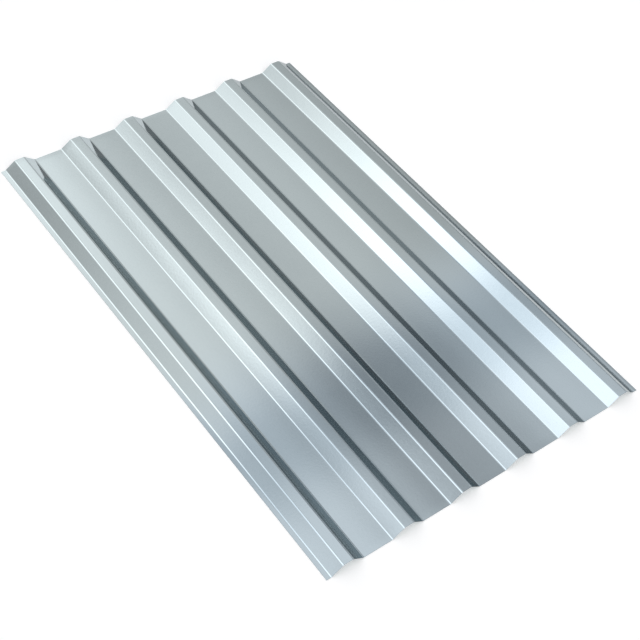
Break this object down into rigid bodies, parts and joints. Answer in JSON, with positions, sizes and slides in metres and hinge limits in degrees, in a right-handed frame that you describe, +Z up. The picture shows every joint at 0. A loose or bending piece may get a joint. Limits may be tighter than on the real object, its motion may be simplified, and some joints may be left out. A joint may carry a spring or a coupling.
{
  "type": "corrugated metal sheet",
  "caption": "Galvanised steel roofing and cladding sheet with trapezoidal ribs along its length, wide flat pans between the ribs and a narrow flat lip along each side edge.",
  "frame": {"origin": "middle of the sheet's length and width, at the level of the underside of its pans", "axes": "+Y along the ribs, +X across them, +Z up, the way the ribs stand above the pans"},
  "size_m": [1.134, 1.75, 0.0277],
  "materials": {
    "galvanised_steel": "hot-dip galvanised, smooth and semi-bright, with fine grain"
  },
  "bodies": {
    "root": {"corrugated_sheet": "galvanised_steel"}
  },
  "joints": []
}
